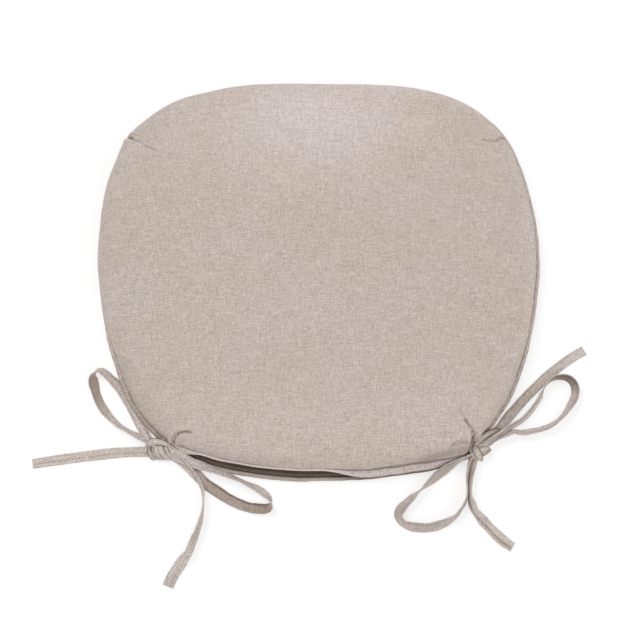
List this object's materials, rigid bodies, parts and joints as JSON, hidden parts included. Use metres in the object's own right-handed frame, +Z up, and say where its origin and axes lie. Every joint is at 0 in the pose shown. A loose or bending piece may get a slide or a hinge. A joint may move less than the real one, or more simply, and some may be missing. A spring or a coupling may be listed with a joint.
{
  "type": "seat cushion",
  "caption": "Thin rounded chair pad in natural linen with corded piping, a zip opening under a stitched flap, and fabric straps tied in bows at the two back corners.",
  "frame": {"origin": "centre of the cushion's plan on the resting plane, which is the underside of the bottom panel", "axes": "+Z up out of the seat; -Y towards the zip opening and the ties (the back of the seat); +X to the right when looking along +Y"},
  "size_m": [0.4829, 0.4688, 0.0306],
  "materials": {
    "linen_cover": "matte",
    "strap_linen": "matte",
    "foam": "matte",
    "wadding": "matte",
    "cotton_cord": "matte",
    "zip_tape": "matte",
    "zip_coil": "satin",
    "zip_metal": "satin"
  },
  "bodies": {
    "cover": {"foam_core": "foam", "wadding_layer": "wadding", "top_panel": "linen_cover", "bottom_panel": "linen_cover", "piping_sleeve": "linen_cover", "piping_cord": "cotton_cord", "placket_flap": "linen_cover", "placket_lip": "linen_cover", "zip_tape_upper": "zip_tape", "zip_tape_lower": "zip_tape", "zip_coil_upper": "zip_coil", "zip_coil_lower": "zip_coil", "zip_stop_left": "zip_metal", "zip_stop_right": "zip_metal", "left_tie_root": "strap_linen", "right_tie_root": "strap_linen"},
    "zip_slider": {"zip_slider_body": "zip_metal"},
    "zip_pull": {"zip_pull_tab": "zip_metal"},
    "left_knot": {"left_knot": "strap_linen"},
    "right_knot": {"right_knot": "strap_linen"},
    "left_loop_outer": {"left_loop_outer": "strap_linen"},
    "left_loop_inner": {"left_loop_inner": "strap_linen"},
    "left_tail_long": {"left_tail_long": "strap_linen"},
    "left_tail_short": {"left_tail_short": "strap_linen"},
    "right_loop_outer": {"right_loop_outer": "strap_linen"},
    "right_loop_inner": {"right_loop_inner": "strap_linen"},
    "right_tail_long": {"right_tail_long": "strap_linen"},
    "right_tail_short": {"right_tail_short": "strap_linen"}
  },
  "joints": [
    {"name": "zip_slide", "type": "hinge", "parent": "cover", "child": "zip_slider", "pos_m": [0, 0.178, 0.0074], "axis": [0, 0, 1], "range_deg": [-30.5, 0]},
    {"name": "zip_pull_swing", "type": "hinge", "parent": "zip_slider", "child": "zip_pull", "pos_m": [0.09398, -0.17273, 0.0074], "axis": [0, 0, 1], "range_deg": [0, 10]},
    {"name": "left_tie_swing", "type": "hinge", "parent": "cover", "child": "left_knot", "pos_m": [-0.1328, -0.1601, 0.0056], "axis": [0.769, -0.6392, 0], "range_deg": [-30, 60]},
    {"name": "right_tie_swing", "type": "hinge", "parent": "cover", "child": "right_knot", "pos_m": [0.1328, -0.1601, 0.0056], "axis": [0.769, 0.6392, 0], "range_deg": [-30, 60]},
    {"name": "left_loop_outer_swing", "type": "hinge", "parent": "left_knot", "child": "left_loop_outer", "pos_m": [-0.1454, -0.1582, 0.0044], "axis": [0.7655, 0.6434, 0], "range_deg": [-60, 50]},
    {"name": "left_loop_inner_swing", "type": "hinge", "parent": "left_knot", "child": "left_loop_inner", "pos_m": [-0.1296, -0.1708, 0.007], "axis": [-0.3697, -0.9292, 0], "range_deg": [0, 60]},
    {"name": "left_tail_long_swing", "type": "hinge", "parent": "left_knot", "child": "left_tail_long", "pos_m": [-0.147, -0.1668, 0.0039], "axis": [-0.0797, 0.9968, 0], "range_deg": [-85, 70]},
    {"name": "left_tail_short_swing", "type": "hinge", "parent": "left_knot", "child": "left_tail_short", "pos_m": [-0.132, -0.1746, 0.0012], "axis": [-0.6606, -0.7507, 0], "range_deg": [-80, 0]},
    {"name": "right_loop_outer_swing", "type": "hinge", "parent": "right_knot", "child": "right_loop_outer", "pos_m": [0.147, -0.1646, 0.0044], "axis": [0.5593, -0.829, 0], "range_deg": [-75, 55]},
    {"name": "right_loop_inner_swing", "type": "hinge", "parent": "right_knot", "child": "right_loop_inner", "pos_m": [0.1286, -0.1756, 0.0046], "axis": [-0.7121, 0.7021, 0], "range_deg": [-60, 50]},
    {"name": "right_tail_long_swing", "type": "hinge", "parent": "right_knot", "child": "right_tail_long", "pos_m": [0.1446, -0.1594, 0.0044], "axis": [0.7121, -0.7021, 0], "range_deg": [-85, 45]},
    {"name": "right_tail_short_swing", "type": "hinge", "parent": "right_knot", "child": "right_tail_short", "pos_m": [0.1368, -0.1754, 0.0022], "axis": [-0.9988, 0.0499, 0], "range_deg": [-85, 60]}
  ]
}
